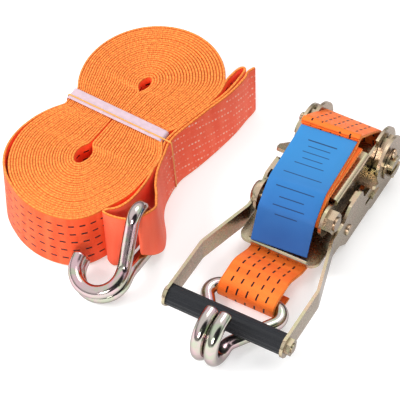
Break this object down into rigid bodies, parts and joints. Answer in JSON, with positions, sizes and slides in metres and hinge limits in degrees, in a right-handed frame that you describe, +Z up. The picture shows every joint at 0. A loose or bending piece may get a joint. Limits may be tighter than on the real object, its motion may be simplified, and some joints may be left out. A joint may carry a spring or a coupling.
{
  "type": "ratchet tie down",
  "caption": "Cargo ratchet buckle with hinged handle, toothed spool and sliding pawls, a short hooked strap and a long hooked strap wound into a banded coil.",
  "frame": {"origin": "middle of the spool axis, inside the webbing slot", "axes": "+X along the spool axis, -Y from the spool toward the hand grip, +Z up from the surface it lies on"},
  "size_m": [0.2833, 0.2745, 0.072],
  "materials": {
    "zinc_steel": "yellow passivated zinc",
    "pawl_steel": "yellow passivated zinc",
    "spring_steel": "bright",
    "hook_steel": "bright passivated zinc",
    "grip_plastic": "ribbed satin black",
    "webbing": "woven polyester",
    "label": "bare blue label",
    "band_film": "clear film",
    "rubber": "matt"
  },
  "bodies": {
    "handle": {"handle_left_side": "zinc_steel", "handle_right_side": "zinc_steel", "grip_sleeve": "grip_plastic", "grip_rod": "zinc_steel", "grip_rod_nut": "zinc_steel", "spring_bridge": "zinc_steel", "bridge_rivets": "zinc_steel", "drive_pawl_spring": "spring_steel", "short_strap": "webbing"},
    "drive_pawl": {"drive_pawl": "zinc_steel"},
    "base": {"base_frame": "zinc_steel", "strap_bolt": "zinc_steel", "strap_bolt_nut": "zinc_steel", "lock_pawl_spring": "spring_steel", "strap_label": "label"},
    "lock_pawl": {"lock_pawl": "pawl_steel"},
    "spool": {"spool_upper_half": "zinc_steel", "spool_lower_half": "zinc_steel", "ratchet_wheel_left": "zinc_steel", "ratchet_wheel_right": "zinc_steel", "spool_washers": "zinc_steel", "cotter_pins": "zinc_steel"},
    "short_hook": {"short_strap_hook": "hook_steel"},
    "coil": {"coiled_strap": "webbing", "sewn_tail": "webbing", "hook_loop": "webbing", "plastic_band": "band_film", "rubber_band": "rubber"},
    "long_hook": {"long_strap_hook": "hook_steel"}
  },
  "joints": [
    {"name": "base_swing", "type": "hinge", "parent": "handle", "child": "base", "pos_m": [0, 0, 0], "axis": [-1, 0, 0], "range_deg": [0, 165], "deforming": ["short_strap"]},
    {"name": "spool_turn", "type": "hinge", "parent": "base", "child": "spool", "pos_m": [0, 0, 0], "axis": [1, 0, 0], "continuous": true},
    {"name": "lock_pawl_slide", "type": "slide", "parent": "base", "child": "lock_pawl", "axis": [0, -0.9511, 0.309], "range_m": [0, 0.005], "stiffness_N_per_m": 800, "springref_m": -0.008, "deforming": ["lock_pawl_spring"]},
    {"name": "drive_pawl_pull", "type": "slide", "parent": "handle", "child": "drive_pawl", "axis": [0, -1, 0], "range_m": [0, 0.008], "stiffness_N_per_m": 600, "springref_m": -0.008, "deforming": ["drive_pawl_spring"]},
    {"name": "short_hook_draw", "type": "slide", "parent": "handle", "child": "short_hook", "axis": [0, -0.9953, -0.0964], "range_m": [0, 0.015], "deforming": ["short_strap"]},
    {"name": "coil_lift", "type": "slide", "parent": "handle", "child": "coil", "axis": [0, 0, 1], "range_m": [0, 0.09]},
    {"name": "long_hook_swing", "type": "hinge", "parent": "coil", "child": "long_hook", "pos_m": [-0.0943, -0.1559, 0.0166], "axis": [-0.016, -0.4171, 0.9087], "range_deg": [0, 25]}
  ]
}
